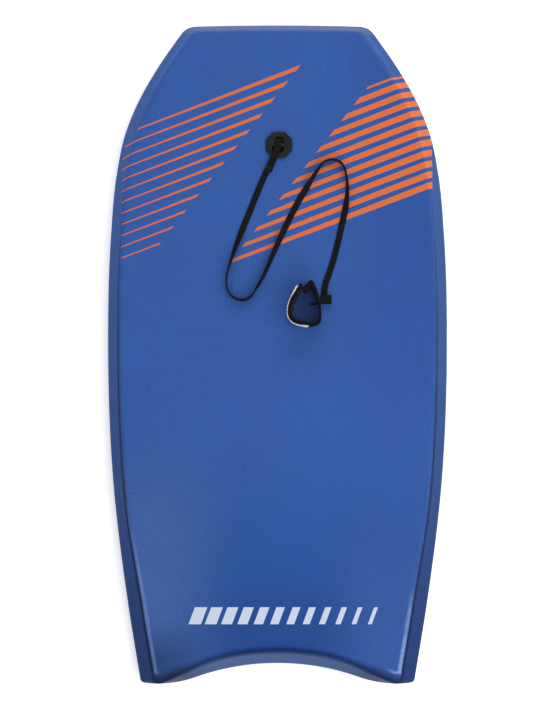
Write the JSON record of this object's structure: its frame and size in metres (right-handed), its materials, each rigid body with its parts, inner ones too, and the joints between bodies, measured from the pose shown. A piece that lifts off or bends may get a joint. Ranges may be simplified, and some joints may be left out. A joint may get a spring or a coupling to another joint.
{
  "type": "bodyboard",
  "caption": "Flat foam bodyboard with a crescent tail, clamped leash plug, flat webbing leash and hook-and-loop wrist cuff.",
  "frame": {"origin": "centre of the board's bottom face, halfway between nose and tail", "axes": "+Y towards the nose, +Z out of the deck, +X to the right seen from above with the nose up the page"},
  "size_m": [0.5498, 1.0669, 0.0923],
  "materials": {
    "core_foam": "white bead foam, hidden",
    "deck_foam": "blue foam skin with a fine mottled grain and printed orange and white stripes",
    "slick_plastic": "smooth blue sheet with a low sheen",
    "rail_foam": "blue foam skin, matt",
    "plug_plastic": "moulded black plastic, satin",
    "strap_webbing": "black woven webbing",
    "sewing_thread": "black thread",
    "cuff_padding": "black foam-backed knit",
    "cuff_webbing": "black hook-and-loop band",
    "flap_fabric": "light grey brushed loop fabric"
  },
  "bodies": {
    "board": {"foam_core": "core_foam", "deck_skin": "deck_foam", "bottom_slick": "slick_plastic", "rail_left": "rail_foam", "rail_right": "rail_foam", "nose_strip": "rail_foam", "tail_strip": "rail_foam", "plug_cap": "plug_plastic", "plug_base": "plug_plastic"},
    "plug_leg": {"strap_plug_leg": "strap_webbing", "fold_bar_tack": "sewing_thread"},
    "middle_leg": {"strap_middle_leg": "strap_webbing"},
    "cuff_leg": {"strap_cuff_leg": "strap_webbing"},
    "cuff": {"cuff_pad": "cuff_padding", "cuff_side_band": "cuff_webbing", "strap_tail": "strap_webbing", "anchor_tab": "strap_webbing", "anchor_bar_tack": "sewing_thread"},
    "flap": {"cuff_flap": "flap_fabric"}
  },
  "joints": [
    {"name": "strap_lift", "type": "hinge", "parent": "board", "child": "plug_leg", "pos_m": [0, 0.333, 0.0555], "axis": [-1, 0, 0], "range_deg": [0, 80]},
    {"name": "strap_bend_1", "type": "hinge", "parent": "plug_leg", "child": "middle_leg", "pos_m": [-0.07039, 0.08665, 0.054], "axis": [0, 0, -1], "range_deg": [-4, 80]},
    {"name": "strap_bend_2", "type": "hinge", "parent": "middle_leg", "child": "cuff_leg", "pos_m": [0.09588, 0.31051, 0.054], "axis": [0, 0, 1], "range_deg": [0, 65]},
    {"name": "cuff_swing", "type": "hinge", "parent": "cuff_leg", "child": "cuff", "pos_m": [0.078, 0.083, 0.054], "axis": [0, 0, 1], "range_deg": [-20, 50]},
    {"name": "flap_open", "type": "hinge", "parent": "cuff", "child": "flap", "pos_m": [0.047, 0.039, 0.054], "axis": [0, 0, 1], "range_deg": [0, 60]}
  ]
}
